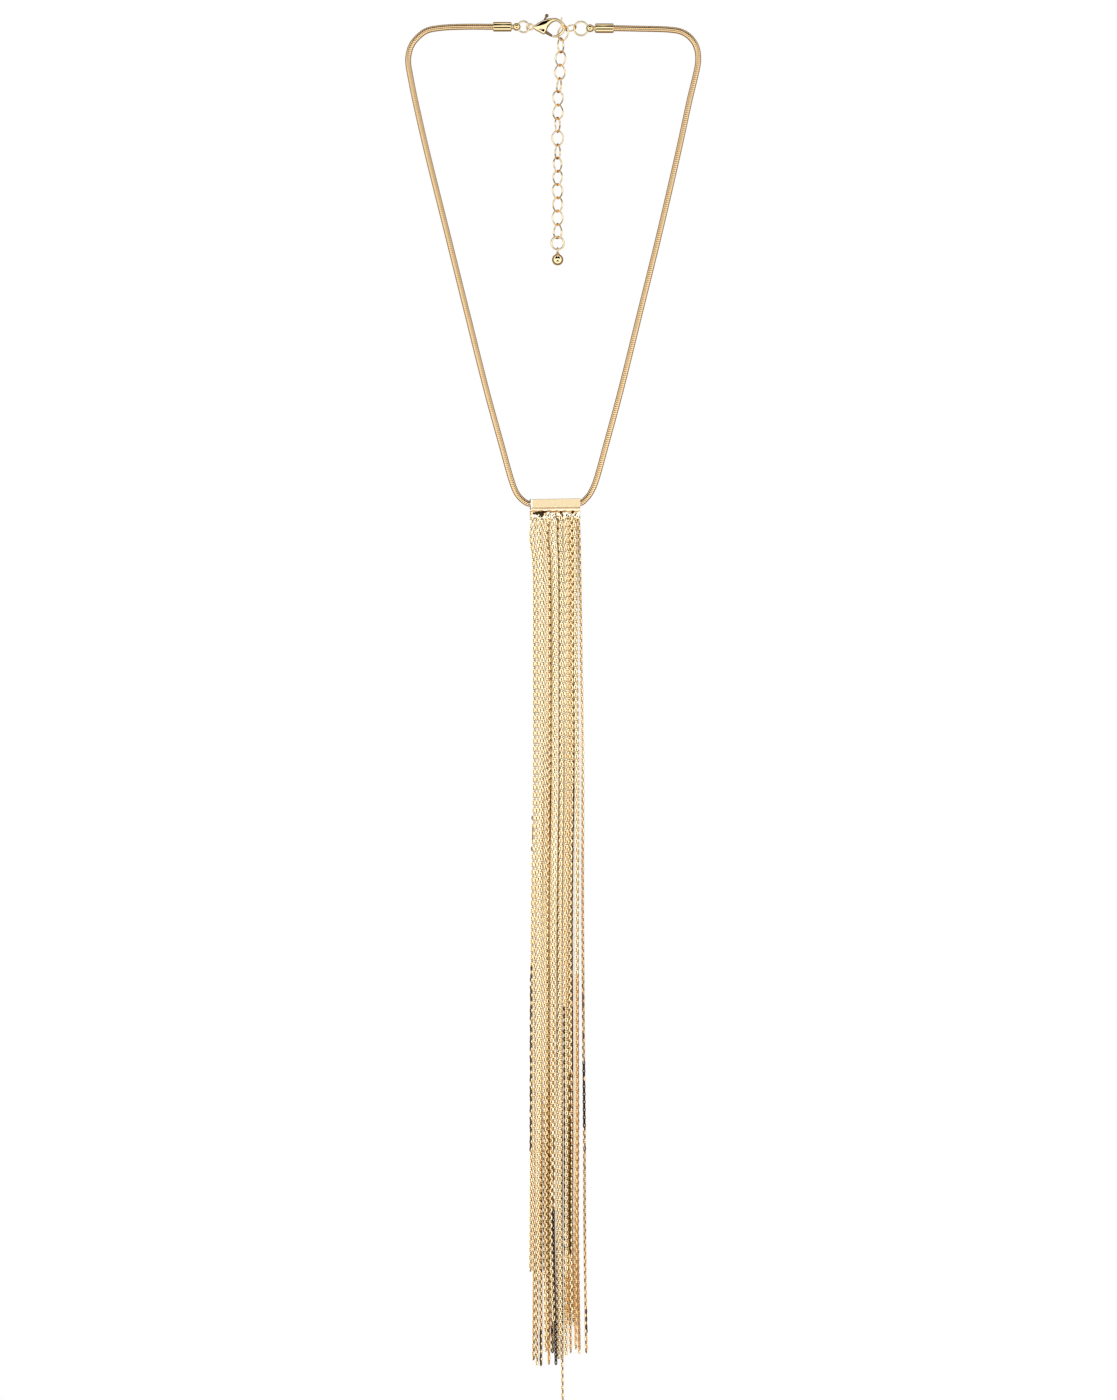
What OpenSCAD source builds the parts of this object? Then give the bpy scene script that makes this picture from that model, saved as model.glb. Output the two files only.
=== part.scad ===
// Lariat necklace: round snake chain, folded slider bar with a long chain fringe,
// lobster clasp and extender chain. It lies flat: Z is up and +Y points to the clasp.
// The origin is the middle of the slider bar's flat back.

/* [Snake chain] */
// Outer diameter of the round snake chain
chain_d = 2.1; // [1.8:0.1:2.2]

/* [End caps] */
// Outer diameter of the tube that grips the chain's end
cap_d = 3.3; // [3.1:0.1:3.6]
// Length of the tube
cap_len = 6.4; // [5.5:0.1:7]
// Diameter of the drilled ball at the tube's end
cap_ball_d = 2.7; // [2.5:0.1:2.8]
// Distance from the tube to the middle of the ball
cap_ball_reach = 1.8; // [1.6:0.1:2]

/* [Rings] */
// Wire of the jump rings
ring_wire = 0.56; // [0.5:0.02:0.6]
// Outer diameter of the clasp's jump ring
ring_left_d = 4.5; // [4.4:0.1:4.5]
// Outer diameter of the extender's jump ring
ring_right_d = 5.46; // [5.4:0.02:5.5]
// Outer diameter of the small connector ring
connector_d = 4.1; // [4:0.05:4.15]
// Outer diameter of the ring at the end of the extender
extender_ring_d = 5.1; // [5:0.05:5.2]

/* [Extender chain] */
// Length of one oval link
link_len = 5.6; // [5.6:0.02:5.7]
// Width of one oval link
link_w = 4.4; // [4.2:0.1:4.6]
// Wire of the links
link_wire = 0.45; // [0.4:0.01:0.45]
// Distance from one link to the next
link_pitch = 4.64; // [4.6:0.01:4.64]
// Diameter of the ball drop
drop_d = 3.95; // [3.8:0.05:4]

/* [Clasp] */
// Thickness of the lever, inside a slot with room on both sides
gate_t = 0.9; // [0.8:0.05:0.95]
// Diameter of the pin riveted through the cheeks
pin_d = 0.66; // [0.6:0.02:0.7]
// Room round the pin in the lever's bore, on the radius
pin_room = 0.05; // [0.03:0.01:0.08]
// Angle that the lever opens inward
gate_travel = 22; // [10:1:22]

/* [Slider bar] */
// Length of the bar across the necklace
bar_len = 17.6; // [16:0.1:18]
// Height of the bar's face
bar_h = 3.15; // [3:0.05:3.4]
// Depth of the bar from front to back
bar_depth = 2.9; // [2.8:0.1:3.2]
// Slope of the bar across the necklace
bar_slope = 1; // [0:0.5:1.5]

/* [Fringe] */
// Outer diameter of one strand
strand_d = 1.08; // [1:0.02:1.08]
// Height of the strands that lie on the others
upper_layer_z = 1.7; // [1.7:0.05:1.9]

/* [Hidden] */

polished_gold = [0.93, 0.76, 0.47];
satin_gold = [0.95, 0.82, 0.58];
warm_gold = [0.88, 0.68, 0.40];
smooth = 64;
fine = 40;
cut_margin = 1;

// Both halves of the chain run from an end cap to the middle of the bar
chain_z = 1.06;
bar_hole_z = 1.45;
cap_z = cap_d / 2 + 0.01;
half_gap = 0.03;
chain_sides = 8;
chain_step = 6.5;
chain_left_route = [
    [-17, 166.8, cap_z], [-22, 166.8, cap_z], [-29, 166.9, 1.3], [-36, 166.8, chain_z],
    [-41, 166.4, chain_z], [-45, 165.5, chain_z], [-48, 163.3, chain_z],
    [-50.2, 160.5, chain_z], [-51.3, 157, chain_z], [-51.4, 154, chain_z],
    [-50.9, 150.8, chain_z], [-49, 141.2, chain_z], [-45, 123.7, chain_z],
    [-38, 95.6, chain_z], [-31, 67.5, chain_z], [-24, 39.6, chain_z],
    [-18.5, 19.6, chain_z], [-15.3, 8.2, 1.1], [-13.5, 3.7, 1.2], [-11.3, 1.1, 1.35],
    [-9, -0.1, bar_hole_z], [-half_gap, 0, bar_hole_z]];
chain_right_route = [
    [16, 166.3, cap_z], [21, 166.3, cap_z], [29, 166.2, 1.3], [36, 166.1, chain_z],
    [40, 165.9, chain_z], [43.8, 165.3, chain_z], [46.6, 163.8, chain_z],
    [48.8, 161.3, chain_z], [49.9, 158.3, chain_z], [50.1, 155, chain_z],
    [49.6, 151.7, chain_z], [47.1, 141.2, chain_z], [43.3, 123.7, chain_z],
    [36.8, 95.6, chain_z], [29.9, 67.5, chain_z], [23, 39.6, chain_z],
    [17.7, 20, chain_z], [14.4, 8.2, 1.1], [12.5, 3.8, 1.2], [10.8, 1.6, 1.35],
    [9, 0.2, bar_hole_z], [half_gap, 0, bar_hole_z]];

// End caps, measured from the middle of each ball
cap_bore_d = chain_d + 0.2;
cap_bore_depth = 5.4;
cap_neck_d = 1.5;
cap_edge = 0.35;
left_ball = [-13.45, 166.8, cap_z];
right_ball = [12.25, 166.3, cap_z];
ring_room = 0.09;

// Rings at the clasp: place, then the lean as pitch, roll and turn
ring_left_place = [-11.05, 166.8, 1.56];
ring_left_lean = [0, 5, 0];
ring_right_place = [9.1, 166.2, 1.6];
ring_right_lean = [0, 4, 0];
connector_place = [5.55, 166.2, 2.35];
connector_lean = [68, 0, 18];

// Extender: the hooked link has its own place, the others follow in a row
link_sides = 16;
wire_sides = 6;
hooked_link_place = [2.76, 164.55, 1.8];
hooked_link_lean = [14, -25, -16];
second_link_place = [2, 160.24, 1.97];
second_link_lean = [-3, 60, -2];
row_point = 0.1;
row_start_y = 155.6;
row_z = 2.03;
// Columns: place across the necklace, turn about the link's long axis, egg shape
row_links = [[1.9, -27, 0.08], [1.75, 26, -0.1], [1.4, -68, -0.2], [1.05, 29, 0.2], [1, -30, -0.2],
    [0.9, 66, 0.2], [0.9, 5, 0], [0.9, -64, -0.2], [0.9, 46, 0.2], [0.9, -39, 0.2], [0.9, 30, 0.15],
    [0.9, -34, 0.04], [0.9, 20, 0], [0.9, -46, -0.25]];
extender_ring_place = [0.9, 91.05, row_z];
extender_ring_lean = [0, 12, 0];
extender_ring_wire = 0.6;

// Ball drop with its soldered loop
drop_place = [0.9, 85.25, 1.99];
drop_loop_place = [0.9, 88.65, 2];
drop_loop_d = 2;
drop_loop_wire = 0.5;
drop_neck_d = [1.5, 0.9];

// Clasp: its own frame starts at the tip of the base, U along it and V across it
clasp_place = [-7.35, 166.8, 1.4];
clasp_eye_place = [-1.4, 0, 0];
clasp_eye_lean = [40, 0, 0];
clasp_eye_d = 2.86;
clasp_eye_wire = 0.56;
section_sides = 12;
// Columns: outer edge U and V, inner edge U and V, half thickness
clasp_sections = [
    [-0.2, 0.3, -0.2, -0.45, 0.35], [0.2, 0.6, 0.15, -0.85, 0.7], [1.3, 1.37, 0.95, -1.4, 1.05],
    [2.45, 2.1, 2.1, -2, 1.3], [3.6, 2.63, 3.3, -2.65, 1.35], [4.3, 2.8, 4.15, -1.9, 1.3],
    [4.87, 2.9, 4.7, -0.4, 1.2], [5.6, 3.05, 5.3, 0.5, 1.1], [6.4, 3.15, 6, 1.25, 1],
    [7.2, 3.15, 6.9, 1.8, 0.85], [8.2, 2.98, 7.9, 1.95, 0.72], [9.2, 2.4, 8.7, 1.5, 0.6],
    [10.1, 1.65, 9.35, 0.85, 0.48], [10.8, 0.85, 9.8, 0.25, 0.38], [11.1, -0.1, 10.05, -0.3, 0.36],
    [10.9, -1.1, 9.85, -0.85, 0.36], [10.5, -1.75, 9.45, -1.5, 0.36],
    [9.8, -2.6, 8.85, -2.15, 0.35], [8.85, -3.3, 8.1, -2.65, 0.34], [7.8, -3.66, 7.4, -2.85, 0.34],
    [6.5, -3.7, 6.55, -2.9, 0.34]];
pivot = [2.66, -0.95];
gate_tip = [6.3, -3.17];
gate_reach = 4.4;
tip_room = 0.1;
lever_bend = [3.72, 2.65];
knob = [4.45, 3.92];
knob_d = 1.25;
boss_d = 1.7;
arm_w = [1.3, 0.8];
lever_w = [1, 0.6];
slot_room = 0.1;
sweep_steps = 4;
pin_len = 2.4;
nib_foot = [9.55, 2];
nib_end = [9.72, 3.35];
nib_d = 0.5;

// Slider bar: folded round the chain, with a plate behind the solder
bar_hole_d = chain_d + 0.3;
bar_corner = 0.15;
plate_t = 0.5;
plate_reach = 4.3;

// Solder bed on the plate
bed_half_w = 8.3;
bed_top_y = -3.25;
bed_bottom_y = -5.7;
bed_z = 1.12;
bed_round = 0.52;
lumps = 13;
lump_d = 1.3;

// Fringe rows. Columns: Y, first strand's place across, distance between strands
fringe_rows = [[-4.5, -8, 1.16], [-12, -8.7, 1.23], [-20, -7.7, 1.16], [-51, -7.4, 1.14],
    [-97, -7.5, 1.15], [-139, -8.1, 1.155], [-184, -8.4, 1.165], [-223, -8.5, 1.165],
    [-254, -8.7, 1.165]];
drift_rows = [-12, -51, -139, -254];
strand_start_z = 1.15;
strand_sides = 6;
strand_step = 24;
// Strand columns: place in the row, layer, drift at three heights, tip across, tip Y
strands = [
    [0, 0, 0, 0, 0.1, -8.7, -268], [1, 0, 0, 0, 0.1, -7.6, -299], [2, 0, 0, 0, 0.1, -6.4, -301],
    [3, 0, 0, 0, 0.2, -4.9, -301], [4, 0, 0, 0, 0.3, -3.3, -296], [5, 0, 0, 0, 0.3, -2.2, -300.5],
    [6, 0, 0, 0, 0.1, -0.9, -296.5], [7, 0, 0, 0, 0, 0.3, -300.5], [8, 0, 0, 0, 0.5, 1.4, -298.5],
    [9, 0, 0, 0, 0.6, 2.6, -315], [10, 0, 0, 0, 0.6, 3.8, -297.5], [11, 0, 0, 0, 0.6, 5.4, -296.5],
    [12, 0, 0, 0, 0.6, 6.6, -287], [13, 0, 0, 0.9, 1.4, 8.5, -297], [14, 0, 0.6, 1.6, 2.8, 11, -296.5],
    [2.5, 1, 0, 0, 0.1, -5.6, -269], [4.5, 1, 0, 0, 0.2, -2.7, -292], [6.4, 1, 0, 0, -0.2, -0.5, -285],
    [8.5, 1, 0, 0, 0.5, 1.9, -290], [10.5, 1, 0, 0, 0.4, 4.3, -286.5],
    [11.6, 1, 0, 0, 0.6, 5.7, -282], [12.7, 1, 0, 1, 1.2, 7.2, -295]];

// Shared curve and sweep functions
function unit(v) = v / norm(v);
function heading(points, i) = unit(points[min(i + 1, len(points) - 1)] - points[max(i - 1, 0)]);
function bend(a, b, da, db, t) = (2 * pow(t, 3) - 3 * pow(t, 2) + 1) * a
    + (pow(t, 3) - 2 * pow(t, 2) + t) * da + (3 * pow(t, 2) - 2 * pow(t, 3)) * b
    + (pow(t, 3) - pow(t, 2)) * db;
function smooth_route(points, step) = concat(
    [for (i = [0 : len(points) - 2])
        let (a = points[i], b = points[i + 1], reach = norm(b - a), parts = max(1, round(reach / step)))
        for (k = [0 : parts - 1])
            bend(a, b, heading(points, i) * reach, heading(points, i + 1) * reach, k / parts)],
    [points[len(points) - 1]]);
function wire_ring(centre, dir, r, sides) =
    let (side = unit(cross(dir, [0, 0, 1])), lift = cross(side, dir))
    [for (k = [0 : sides - 1]) let (a = 360 * k / sides) centre + r * (cos(a) * side + sin(a) * lift)];
function skin(rings, sides) = [for (r = [0 : rings - 2], k = [0 : sides - 1])
    let (a = r * sides + k, b = r * sides + (k + 1) % sides)
    each [[a, b, b + sides], [a, b + sides, a + sides]]];
function flipped(faces) = [for (f = faces) [for (k = [len(f) - 1 : -1 : 0]) f[k]]];
function ends(rings, sides) =
    [[for (k = [sides - 1 : -1 : 0]) k], [for (k = [0 : sides - 1]) (rings - 1) * sides + k]];

module tube(path, d, sides) {
    polyhedron(
        points = [for (i = [0 : len(path) - 1]) each wire_ring(path[i], heading(path, i), d / 2, sides)],
        faces = concat(skin(len(path), sides), ends(len(path), sides)));
}

// One half of the snake chain
module snake_chain(route) {
    color(warm_gold) tube(smooth_route(route, chain_step), chain_d, chain_sides);
}

// Round wire ring lying flat round its middle
module round_ring(outer_d, wire) {
    rotate_extrude($fn = smooth) translate([(outer_d - wire) / 2, 0]) circle(d = wire, $fn = fine);
}

// Half outline of a cap's tube and neck, from the open end towards the ball
module cap_outline() {
    r = cap_d / 2;
    polygon([[0, 0], [r - cap_edge / 2, 0], [r, cap_edge / 2], [r, cap_len - cap_edge],
        [r - cap_edge, cap_len], [cap_neck_d / 2 + cap_edge, cap_len],
        [cap_neck_d / 2, cap_len + cap_edge], [cap_neck_d / 2, cap_len + cap_ball_reach - cap_edge],
        [0, cap_len + cap_ball_reach - cap_edge]]);
}

// End cap with the ball at its own middle and the tube towards -X
module end_cap() {
    reach = cap_len + cap_ball_reach;
    sphere(d = cap_ball_d, $fn = smooth);
    translate([-reach, 0, 0]) rotate([0, 90, 0]) difference() {
        rotate_extrude($fn = smooth) cap_outline();
        translate([0, 0, -cut_margin]) cylinder(d = cap_bore_d, h = cap_bore_depth + cut_margin, $fn = smooth);
    }
}

// Lean is the pitch, then the roll about the piece's length, then the turn as seen from above
module placed(place, lean) {
    translate(place) rotate([0, 0, lean[2]]) rotate([lean[0], 0, 0]) rotate([0, lean[1], 0]) children();
}

module end_cap_left() {
    color(polished_gold) difference() {
        translate(left_ball) end_cap();
        placed(ring_left_place, ring_left_lean) round_ring(ring_left_d + ring_room, ring_wire + 2 * ring_room);
    }
}

module end_cap_right() {
    color(polished_gold) difference() {
        translate(right_ball) rotate([0, 0, 180]) end_cap();
        placed(ring_right_place, ring_right_lean) round_ring(ring_right_d + ring_room, ring_wire + 2 * ring_room);
    }
}

module jump_ring_left() {
    color(polished_gold) placed(ring_left_place, ring_left_lean) round_ring(ring_left_d, ring_wire);
}

module jump_ring_right() {
    color(polished_gold) placed(ring_right_place, ring_right_lean) round_ring(ring_right_d, ring_wire);
}

module connector_ring() {
    color(polished_gold) placed(connector_place, connector_lean) round_ring(connector_d, link_wire);
}

// Clasp body swept through its sections, from the eye round the hook to its tip
module clasp_shell() {
    points = [for (s = clasp_sections)
        let (mid = [s[0] + s[2], s[1] + s[3]] / 2, arm = [s[0] - s[2], s[1] - s[3]] / 2)
        for (k = [0 : section_sides - 1])
            let (a = 360 * k / section_sides)
            [mid[0] + arm[0] * cos(a), mid[1] + arm[1] * cos(a), s[4] * sin(a)]];
    rings = len(clasp_sections);
    polyhedron(points = points, faces = flipped(concat(skin(rings, section_sides), ends(rings, section_sides))));
}

// Flat bar between two points with round ends
module round_bar(p, q, p_d, q_d) {
    across = unit([p[1] - q[1], q[0] - p[0]]);
    translate(p) circle(d = p_d, $fn = fine);
    translate(q) circle(d = q_d, $fn = fine);
    polygon([p + across * p_d / 2, q + across * q_d / 2, q - across * q_d / 2, p - across * p_d / 2]);
}

module upright(t) {
    translate([0, 0, -t / 2]) linear_extrude(t) children();
}

// Flat shape of the gate and its lever, wider by the extra
module gate_outline(extra) {
    translate(pivot) circle(d = boss_d + extra, $fn = fine);
    round_bar(pivot, gate_tip, arm_w[0] + extra, arm_w[1] + extra);
    round_bar(pivot, lever_bend, lever_w[0] + extra, lever_w[1] + extra);
    round_bar(lever_bend, knob, lever_w[1] + extra, lever_w[1] + extra);
}

// Room that the gate and its lever sweep inside the body
module gate_slot() {
    upright(gate_t + 2 * slot_room) intersection() {
        translate(pivot) circle(r = gate_reach + tip_room, $fn = smooth);
        union() for (k = [0 : sweep_steps])
            translate(pivot) rotate(k * gate_travel / sweep_steps) translate(-pivot)
                gate_outline(2.2 * slot_room);
    }
}

// Clearance in front of the hook's tip, on the gate's own arc
tip_window = [[5.8, -4.2], [1.6, 1.75]];
module tip_clearance() {
    intersection() {
        upright(4 * gate_t) translate(tip_window[0]) square(tip_window[1]);
        translate([pivot[0], pivot[1], -2 * gate_t])
            cylinder(r = gate_reach + tip_room, h = 4 * gate_t, $fn = smooth);
    }
}

module clasp_body() {
    color(polished_gold) translate(clasp_place) {
        difference() {
            clasp_shell();
            gate_slot();
            tip_clearance();
        }
        translate([pivot[0], pivot[1], -pin_len / 2]) cylinder(d = pin_d, h = pin_len, $fn = fine);
        placed(clasp_eye_place, clasp_eye_lean) round_ring(clasp_eye_d, clasp_eye_wire);
        upright(nib_d) round_bar(nib_foot, nib_end, nib_d, nib_d);
    }
}

module clasp_gate() {
    color(satin_gold) translate(clasp_place) {
        difference() {
            intersection() {
                upright(gate_t) gate_outline(0);
                upright(2 * gate_t) {
                    translate(pivot) circle(r = gate_reach, $fn = smooth);
                    translate(pivot) square([gate_reach, 2 * gate_reach]);
                }
            }
            translate([pivot[0], pivot[1], -gate_t])
                cylinder(r = pin_d / 2 + pin_room, h = 2 * gate_t, $fn = fine);
        }
        translate([knob[0], knob[1], 0]) sphere(d = knob_d, $fn = fine);
    }
}

// Middle of a link's wire: an oval along Y, narrower at its ends and wider towards one of them
function link_spot(t, egg, point) =
    let (a = (link_w - link_wire) / 2, b = (link_len - link_wire) / 2)
    [a * sin(t) * (1 + egg * cos(t)) * (1 - point * pow(cos(t), 2)), b * cos(t), 0];

// Oval wire link lying flat
module oval_link(egg, point) {
    points = [for (i = [0 : link_sides - 1])
        let (t = 360 * i / link_sides, run = unit(link_spot(t + 1, egg, point) - link_spot(t - 1, egg, point)),
            out = [-run[1], run[0], 0])
        for (k = [0 : wire_sides - 1])
            let (u = 360 * k / wire_sides)
            link_spot(t, egg, point) + link_wire / 2 * (cos(u) * out + sin(u) * [0, 0, 1])];
    faces = [for (i = [0 : link_sides - 1], k = [0 : wire_sides - 1])
        let (j = (i + 1) % link_sides, m = (k + 1) % wire_sides,
            p = i * wire_sides + k, q = i * wire_sides + m, r = j * wire_sides + m, s = j * wire_sides + k)
        each [[p, r, q], [p, s, r]]];
    polyhedron(points = points, faces = faces);
}

// Direction of the row at one of its links
function row_x(i) = row_links[max(0, min(i, len(row_links) - 1))][0];
function row_yaw(i) = atan2(row_x(i + 1) - row_x(i - 1), 2 * link_pitch);

module extender_link(i) {
    color(polished_gold) {
        if (i == 0) {
            placed(hooked_link_place, hooked_link_lean) oval_link(0, 0);
        } else if (i == 1) {
            placed(second_link_place, second_link_lean) oval_link(0, 0);
        } else {
            placed([row_x(i - 2), row_start_y - link_pitch * (i - 2), row_z], [0, row_links[i - 2][1], row_yaw(i - 2)])
                oval_link(row_links[i - 2][2], row_point);
        }
    }
}

module extender_ring() {
    color(polished_gold) placed(extender_ring_place, extender_ring_lean)
        round_ring(extender_ring_d, extender_ring_wire);
}

module ball_drop() {
    neck_start = drop_place[1] + drop_d / 2 - 0.25;
    neck_end = drop_loop_place[1] - drop_loop_d / 2 + drop_loop_wire / 2;
    color(polished_gold) {
        translate(drop_place) sphere(d = drop_d, $fn = smooth);
        translate([drop_place[0], neck_start, drop_place[2]]) rotate([-90, 0, 0])
            cylinder(d1 = drop_neck_d[0], d2 = drop_neck_d[1], h = neck_end - neck_start, $fn = fine);
        placed(drop_loop_place, [0, 90, 0]) round_ring(drop_loop_d, drop_loop_wire);
    }
}

// Rounded outline of the bar, seen from its end
module bar_outline() {
    r = bar_corner;
    translate([-bar_h / 2, r]) square([bar_h, bar_depth - 2 * r]);
    translate([r - bar_h / 2, 0]) square([bar_h - 2 * r, bar_depth]);
    for (side = [-1, 1], top = [r, bar_depth - r])
        translate([side * (bar_h / 2 - r), top]) circle(r = r, $fn = fine);
}

module slider_bar() {
    color(satin_gold) rotate([0, 0, bar_slope]) difference() {
        union() {
            translate([-bar_len / 2, 0, 0]) rotate([90, 0, 90]) linear_extrude(bar_len) bar_outline();
            translate([-bar_len / 2, -plate_reach, 0]) cube([bar_len, plate_reach - bar_corner, plate_t]);
        }
        translate([-bar_len, 0, bar_hole_z]) rotate([0, 90, 0])
            cylinder(d = bar_hole_d, h = 2 * bar_len, $fn = smooth);
    }
}

// Solder bed: a rounded slab with a row of lumps where the strands are soldered
module solder_bed() {
    hull() for (x = [-bed_half_w, bed_half_w], y = [bed_bottom_y, bed_top_y])
        translate([x, y, bed_z]) sphere(r = bed_round, $fn = 16);
    for (i = [0 : lumps - 1])
        translate([(i / (lumps - 1) - 0.5) * 2 * bed_half_w, -4.4 + 0.5 * sin(137 * i), bed_z + 0.4])
            sphere(d = lump_d, $fn = 10);
}

function drift(s, y) = lookup(-y, [[-drift_rows[0], 0], [-drift_rows[1], s[2]],
    [-drift_rows[2], s[3]], [-drift_rows[3], s[4]]]);
function strand_z(s, row) = s[1] == 1 ? upper_layer_z : row == 0 ? strand_start_z : strand_d / 2 + 0.01;
function strand_route(s) = concat(
    [for (r = [0 : len(fringe_rows) - 1]) let (f = fringe_rows[r])
        [f[1] + s[0] * f[2] + drift(s, f[0]), f[0], strand_z(s, r)]],
    [[s[5], s[6], strand_z(s, len(fringe_rows))]]);

module fringe() {
    color(satin_gold) {
        solder_bed();
        for (s = strands) tube(smooth_route(strand_route(s), strand_step), strand_d, strand_sides);
    }
}

function two_digits(n) = n < 10 ? str("0", n) : str(n);
link_count = len(row_links) + 2;

snake_chain(chain_left_route);  // snake_chain_left
snake_chain(chain_right_route);  // snake_chain_right
end_cap_left();
end_cap_right();
jump_ring_left();
clasp_body();
clasp_gate();
jump_ring_right();
connector_ring();
for (i = [0 : link_count - 1])
    extender_link(i);
extender_ring();
ball_drop();
slider_bar();
fringe();
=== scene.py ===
"""Lariat necklace lying flat on a white table, seen from straight above.

The model is in metres, in the solid model's frame: Z up, +Y towards the clasp, the origin
on the table under the slider bar. The pieces are shaped in millimetres, and make_piece
turns them into metres.
"""
from math import asin, atan2, cos, degrees, hypot, pi, radians, sin

import bmesh
import bpy
import numpy as np
from mathutils import Matrix, Vector


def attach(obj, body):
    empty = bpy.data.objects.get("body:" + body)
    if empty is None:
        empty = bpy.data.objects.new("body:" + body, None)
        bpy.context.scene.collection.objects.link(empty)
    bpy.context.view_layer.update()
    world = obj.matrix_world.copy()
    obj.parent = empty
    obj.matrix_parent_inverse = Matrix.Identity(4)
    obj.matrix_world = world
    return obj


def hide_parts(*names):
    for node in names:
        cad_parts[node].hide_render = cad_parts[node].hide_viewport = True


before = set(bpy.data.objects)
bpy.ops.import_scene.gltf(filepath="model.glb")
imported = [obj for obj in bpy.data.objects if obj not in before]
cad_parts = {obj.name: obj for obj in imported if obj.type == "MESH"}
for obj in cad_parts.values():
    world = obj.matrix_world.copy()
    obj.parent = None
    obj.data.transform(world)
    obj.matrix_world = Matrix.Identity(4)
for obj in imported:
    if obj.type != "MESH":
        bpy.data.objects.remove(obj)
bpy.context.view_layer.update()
scene = bpy.context.scene

# Camera
# It looks straight down through a long lens. The picture is as tall as the photo, at half
# the necklace's height, and its middle lies well below the slider bar.
mm = 0.001
photo_pixels = 1400
pixel_size = 0.35 * mm
picture_height = photo_pixels * pixel_size
picture_middle = (1.2 * mm, -68.8 * mm)
half_height = 1.5 * mm
lens = 100
sensor = 36
camera_data = bpy.data.cameras.new("camera")
camera_data.lens = lens
camera_data.sensor_width = sensor
camera_data.clip_start = 0.01
camera_data.clip_end = 20
camera = bpy.data.objects.new("camera", camera_data)
camera.location = (*picture_middle, picture_height * lens / sensor + half_height)
scene.collection.objects.link(camera)
scene.camera = camera
scene.view_settings.view_transform = "Standard"


# Light
# A white studio tent lights the necklace evenly. Two openings in it are dark: a wide
# one on the near side and a narrow bar on the far side. They draw the dark lines on
# the tubes and the black spots on the balls.
def add_node(tree, kind, links=None, **settings):
    """Adds a node; links names its inputs, each with a value or another node's output."""
    node = tree.nodes.new(kind)
    for name, value in settings.items():
        setattr(node, name, value)
    for name, value in (links or {}).items():
        if isinstance(value, bpy.types.NodeSocket):
            tree.links.new(value, node.inputs[name])
        else:
            node.inputs[name].default_value = value
    return node


def compute(tree, operation, a, b=0.0, c=0.0):
    """One Math node on two or three values or outputs."""
    return add_node(tree, "ShaderNodeMath", {0: a, 1: b, 2: c}, operation=operation).outputs[0]


def ease(tree, value, start, end, low=0.0, high=1.0):
    """Goes smoothly from low to high while value goes from start to end."""
    node = add_node(tree, "ShaderNodeMapRange", {"Value": value, "From Min": start, "From Max": end,
                    "To Min": low, "To Max": high}, interpolation_type="SMOOTHSTEP")
    return node.outputs["Result"]


tent_strength = 1.7
horizon_strength = 0.85
horizon_fade = (0.0, 0.25)
tent_colour = (1.0, 0.985, 0.95, 1.0)
# Edges of the dark openings, as slopes: a way's Y or X divided by its height. An opening
# is shut at the first value and open at the second. A slant moves an edge sideways.
near_outer_edge = (-1.05, -0.93)
near_inner_edge = (-0.2, -0.27)
near_side_edge = (0.12, -0.08)
near_side_slant = 0.9
far_inner_edge = (0.42, 0.52)
far_inner_slant = 0.6
far_outer_edge = (1.65, 1.5)
far_outer_slant = -2.0
far_least_edge = (0.3, 0.4)
far_side_edge = (1.7, 1.4)
lowest_height = 0.02
world = bpy.data.worlds.new("studio")
scene.world = world
world.use_nodes = True
tree = world.node_tree
tree.nodes.clear()
way = add_node(tree, "ShaderNodeSeparateXYZ",
               {0: add_node(tree, "ShaderNodeTexCoord").outputs["Generated"]}).outputs
height = compute(tree, "MAXIMUM", way["Z"], lowest_height)
across = compute(tree, "ABSOLUTE", compute(tree, "DIVIDE", way["X"], height))
along = compute(tree, "DIVIDE", way["Y"], height)
near_side = compute(tree, "MULTIPLY_ADD", along, near_side_slant, across)
far_inner = compute(tree, "MULTIPLY_ADD", across, far_inner_slant, along)
far_outer = compute(tree, "MULTIPLY_ADD", across, far_outer_slant, along)
near_opening = compute(tree, "MULTIPLY", ease(tree, along, *near_outer_edge),
                       ease(tree, along, *near_inner_edge))
near_opening = compute(tree, "MULTIPLY", near_opening, ease(tree, near_side, *near_side_edge))
far_opening = compute(tree, "MULTIPLY", ease(tree, far_inner, *far_inner_edge),
                      ease(tree, far_outer, *far_outer_edge))
far_opening = compute(tree, "MULTIPLY", far_opening, ease(tree, along, *far_least_edge))
far_opening = compute(tree, "MULTIPLY", far_opening, ease(tree, across, *far_side_edge))
dark = compute(tree, "MAXIMUM", near_opening, far_opening)
tent = ease(tree, way["Z"], *horizon_fade, horizon_strength, tent_strength)
light = compute(tree, "MULTIPLY", tent, compute(tree, "SUBTRACT", 1.0, dark))
seen = add_node(tree, "ShaderNodeLightPath").outputs["Is Camera Ray"]
light = compute(tree, "MAXIMUM", light, seen)
sky = add_node(tree, "ShaderNodeBackground", {"Color": tent_colour, "Strength": light})
add_node(tree, "ShaderNodeOutputWorld", {"Surface": sky.outputs[0]})


# Table
# A white light table. The camera sees it pure white, except in the narrow gaps that the
# necklace covers, where a painted shadow makes it warm brown. The metal mirrors it as a dim brown.
def blend(tree, factor, a, b):
    """Mixes two colours by a factor."""
    mix = add_node(tree, "ShaderNodeMix", {"Factor": factor, "A": a, "B": b}, data_type="RGBA")
    return mix.outputs["Result"]


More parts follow.
